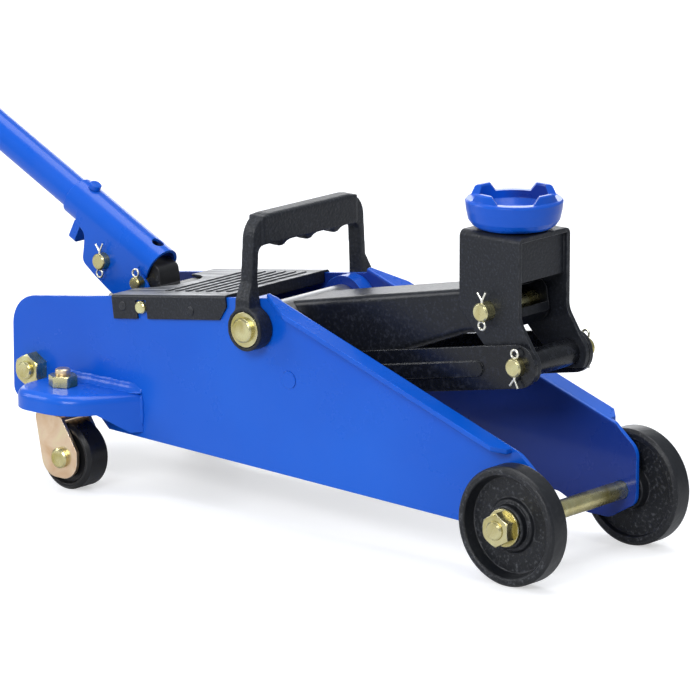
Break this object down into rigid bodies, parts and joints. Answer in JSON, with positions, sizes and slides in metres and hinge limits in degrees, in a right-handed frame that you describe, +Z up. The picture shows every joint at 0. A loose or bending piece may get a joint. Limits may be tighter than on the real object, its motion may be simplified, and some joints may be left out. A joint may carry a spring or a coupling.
{
  "type": "hydraulic trolley jack",
  "caption": "Low hydraulic floor jack with a lifting arm on parallel links, level turning saddle, pump with tubular handle, cast front wheels, swivel rear casters and a carrying handle.",
  "frame": {"origin": "centre of the bounding box on the floor", "axes": "+X towards the saddle end, +Y to the left side, +Z up"},
  "size_m": [0.8522, 0.192, 0.3815],
  "materials": {
    "blue_enamel": "gloss enamel on pressed and cast steel",
    "black_powder": "textured black powder coat",
    "cast_black": "painted black casting",
    "yellow_zinc": "yellow passivated zinc plate",
    "bright_steel": "ground and oiled steel",
    "ram_chrome": "hard chrome",
    "black_plastic": "textured moulding",
    "caster_polymer": "moulded wheel",
    "black_rubber": "moulded rubber"
  },
  "bodies": {
    "frame": {"side_plate_right": "blue_enamel", "side_plate_left": "blue_enamel", "pivot_boss_right": "blue_enamel", "pivot_boss_left": "blue_enamel", "caster_ear_right": "blue_enamel", "caster_ear_left": "blue_enamel", "top_cover": "black_powder", "unit_bolts": "yellow_zinc", "rear_cross_bolt": "yellow_zinc", "rear_cross_nuts": "yellow_zinc", "front_axle": "yellow_zinc", "front_axle_nuts": "yellow_zinc", "front_axle_washers": "yellow_zinc", "lift_shaft": "yellow_zinc", "lift_shaft_rings": "yellow_zinc", "link_rear_pins": "blue_enamel", "pump_block": "cast_black", "reservoir_tube": "black_powder", "pressure_cylinder": "bright_steel", "gland_ring": "bright_steel", "filler_plug": "black_rubber", "return_spring_right": "bright_steel", "return_spring_left": "bright_steel"},
    "lift_arm": {"lift_arm": "black_powder", "arm_sleeve": "bright_steel", "thrust_pin": "bright_steel", "thrust_roller": "bright_steel", "spring_studs": "bright_steel"},
    "saddle_bracket": {"saddle_bracket": "black_powder", "upper_pin": "yellow_zinc", "upper_pin_cotters": "yellow_zinc", "lower_pin": "yellow_zinc", "lower_pin_cotters": "yellow_zinc", "lower_spacer": "black_powder"},
    "saddle": {"saddle": "blue_enamel", "saddle_ring": "yellow_zinc"},
    "ram": {"ram_rod": "ram_chrome", "ram_head": "bright_steel"},
    "carry_handle": {"carry_handle": "black_plastic"},
    "pump_handle": {"handle_socket": "blue_enamel", "handle_tube": "blue_enamel", "handle_grip": "black_rubber", "handle_screw": "blue_enamel", "pump_pivot_pin": "yellow_zinc", "plunger_pin": "yellow_zinc", "socket_pin_cotters": "yellow_zinc"},
    "pump_plunger": {"pump_plunger": "bright_steel"},
    "release_valve": {"release_valve": "yellow_zinc"},
    "link_right": {"link_right": "black_powder"},
    "front_wheel_right": {"front_wheel_right": "cast_black"},
    "caster_fork_right": {"caster_fork_right": "yellow_zinc", "caster_nut_right": "yellow_zinc", "caster_rivet_right": "yellow_zinc"},
    "caster_wheel_right": {"caster_wheel_right": "caster_polymer"},
    "link_left": {"link_left": "black_powder"},
    "front_wheel_left": {"front_wheel_left": "cast_black"},
    "caster_fork_left": {"caster_fork_left": "yellow_zinc", "caster_nut_left": "yellow_zinc", "caster_rivet_left": "yellow_zinc"},
    "caster_wheel_left": {"caster_wheel_left": "caster_polymer"}
  },
  "joints": [
    {"name": "arm_lift", "type": "hinge", "parent": "frame", "child": "lift_arm", "pos_m": [0.16709, 0, 0.1275], "axis": [0, -1, 0], "range_deg": [-30, 37.5], "deforming": ["return_spring_right", "return_spring_left"]},
    {"name": "bracket_level", "type": "hinge", "parent": "lift_arm", "child": "saddle_bracket", "pos_m": [0.33762, 0, 0.15951], "axis": [0, -1, 0], "range_deg": [-38.5, 31]},
    {"name": "link_right_swing", "type": "hinge", "parent": "frame", "child": "link_right", "pos_m": [0.19409, -0.0278, 0.0965], "axis": [0, -1, 0], "range_deg": [-31, 38.5]},
    {"name": "link_left_swing", "type": "hinge", "parent": "frame", "child": "link_left", "pos_m": [0.19409, 0.0278, 0.0965], "axis": [0, -1, 0], "range_deg": [-31, 38.5]},
    {"name": "ram_stroke", "type": "slide", "parent": "frame", "child": "ram", "axis": [1, 0, 0], "range_m": [-0.0195, 0.0242]},
    {"name": "saddle_spin", "type": "hinge", "parent": "saddle_bracket", "child": "saddle", "pos_m": [0.33762, 0, 0.2169], "axis": [0, 0, 1], "continuous": true},
    {"name": "carry_handle_swing", "type": "hinge", "parent": "frame", "child": "carry_handle", "pos_m": [0.16709, 0, 0.1275], "axis": [0, 1, 0], "range_deg": [-40, 15]},
    {"name": "pump_stroke", "type": "hinge", "parent": "frame", "child": "pump_handle", "pos_m": [0.0311, 0, 0.13], "axis": [0, 1, 0], "range_deg": [0, 45]},
    {"name": "plunger_stroke", "type": "slide", "parent": "frame", "child": "pump_plunger", "axis": [0, 0, 1], "range_m": [0, 0.0205]},
    {"name": "valve_turn", "type": "hinge", "parent": "frame", "child": "release_valve", "pos_m": [-0.0419, 0, 0.092], "axis": [1, 0, 0], "range_deg": [0, 360]},
    {"name": "front_wheel_right_spin", "type": "hinge", "parent": "frame", "child": "front_wheel_right", "pos_m": [0.3881, -0.06, 0.038], "axis": [0, 1, 0], "continuous": true},
    {"name": "caster_right_swivel", "type": "hinge", "parent": "frame", "child": "caster_fork_right", "pos_m": [0.0126, -0.0689, 0.06], "axis": [0, 0, 1], "continuous": true},
    {"name": "caster_wheel_right_spin", "type": "hinge", "parent": "caster_fork_right", "child": "caster_wheel_right", "pos_m": [0.02279, -0.0689, 0.0224], "axis": [0, 1, 0], "continuous": true},
    {"name": "front_wheel_left_spin", "type": "hinge", "parent": "frame", "child": "front_wheel_left", "pos_m": [0.3881, 0.06, 0.038], "axis": [0, 1, 0], "continuous": true},
    {"name": "caster_left_swivel", "type": "hinge", "parent": "frame", "child": "caster_fork_left", "pos_m": [0.0126, 0.0689, 0.06], "axis": [0, 0, 1], "continuous": true},
    {"name": "caster_wheel_left_spin", "type": "hinge", "parent": "caster_fork_left", "child": "caster_wheel_left", "pos_m": [0.02279, 0.0689, 0.0224], "axis": [0, 1, 0], "continuous": true}
  ],
  "couplings": [
    {"joint": "bracket_level", "follows": "arm_lift", "ratio": -1},
    {"joint": "link_right_swing", "follows": "arm_lift", "ratio": 1},
    {"joint": "link_left_swing", "follows": "arm_lift", "ratio": 1},
    {"joint": "ram_stroke", "follows": "arm_lift", "m_per_rad": 0.0363},
    {"joint": "plunger_stroke", "follows": "pump_stroke", "m_per_rad": 0.02547}
  ]
}
